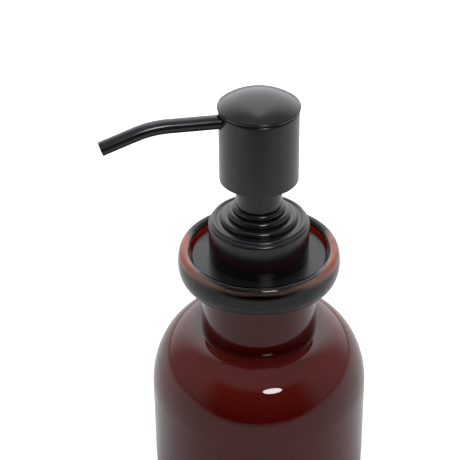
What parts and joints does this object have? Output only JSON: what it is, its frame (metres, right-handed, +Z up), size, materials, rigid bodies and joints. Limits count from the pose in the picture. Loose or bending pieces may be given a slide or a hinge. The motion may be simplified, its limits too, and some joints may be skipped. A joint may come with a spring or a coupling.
{
  "type": "soap pump dispenser",
  "caption": "Squat round glass bottle with a flared lip, closed by a stopper plate that carries a screw-on lotion pump with a pressing, swivelling head and a drooping spout.",
  "frame": {"origin": "the centre of the bottle's flat foot, on the surface it stands on", "axes": "+Z up along the bottle's axis; at rest the spout points along -X, and +Y completes the right-handed frame"},
  "size_m": [0.0904, 0.076, 0.1554],
  "materials": {
    "amber_glass": "polished, thick tinted glass",
    "black_metal": "satin black powder coat",
    "black_plastic": "moulded, matt",
    "white_plastic": "moulded polypropylene",
    "clear_plastic": "translucent polyethylene",
    "silicone": "soft, translucent grey",
    "steel": "bright stainless steel"
  },
  "bodies": {
    "bottle": {"bottle_glass": "amber_glass"},
    "stopper": {"stopper_plate": "black_metal", "plug_insert": "black_plastic", "plug_seal": "silicone"},
    "pump": {"pump_housing": "white_plastic", "neck_gasket": "clear_plastic", "stem_guide": "white_plastic", "guide_seal": "silicone", "ball_cage": "white_plastic", "return_spring": "steel", "dip_tube": "clear_plastic"},
    "closure": {"closure_nut": "black_plastic", "collar_cover": "black_metal"},
    "plunger": {"pump_stem": "white_plastic", "valve_rod": "white_plastic"},
    "piston": {"piston": "clear_plastic"},
    "head": {"head_core": "black_plastic", "head_shell": "black_metal", "head_cap": "black_metal", "spout_tube": "black_metal"},
    "inlet_ball": {"inlet_ball": "steel"}
  },
  "joints": [
    {"name": "stopper_lift", "type": "slide", "parent": "bottle", "child": "stopper", "axis": [0, 0, 1], "range_m": [0, 0.1]},
    {"name": "pump_rise", "type": "slide", "parent": "stopper", "child": "pump", "axis": [0, 0, 1], "range_m": [0, 0.0048]},
    {"name": "closure_turn", "type": "hinge", "parent": "pump", "child": "closure", "pos_m": [0, 0, 0.1], "axis": [0, 0, 1], "range_deg": [0, 540]},
    {"name": "head_press", "type": "slide", "parent": "pump", "child": "plunger", "axis": [0, 0, -1], "range_m": [0, 0.013], "stiffness_N_per_m": 900, "springref_m": -0.008, "deforming": ["return_spring"]},
    {"name": "piston_slip", "type": "slide", "parent": "plunger", "child": "piston", "axis": [0, 0, 1], "range_m": [0, 0.001]},
    {"name": "head_swivel", "type": "hinge", "parent": "plunger", "child": "head", "pos_m": [0, 0, 0.14], "axis": [0, 0, 1], "continuous": true},
    {"name": "inlet_ball_lift", "type": "slide", "parent": "pump", "child": "inlet_ball", "axis": [0, 0, 1], "range_m": [0, 0.0015]}
  ],
  "couplings": [
    {"joint": "pump_rise", "follows": "closure_turn", "m_per_rad": 0.00050532}
  ]
}
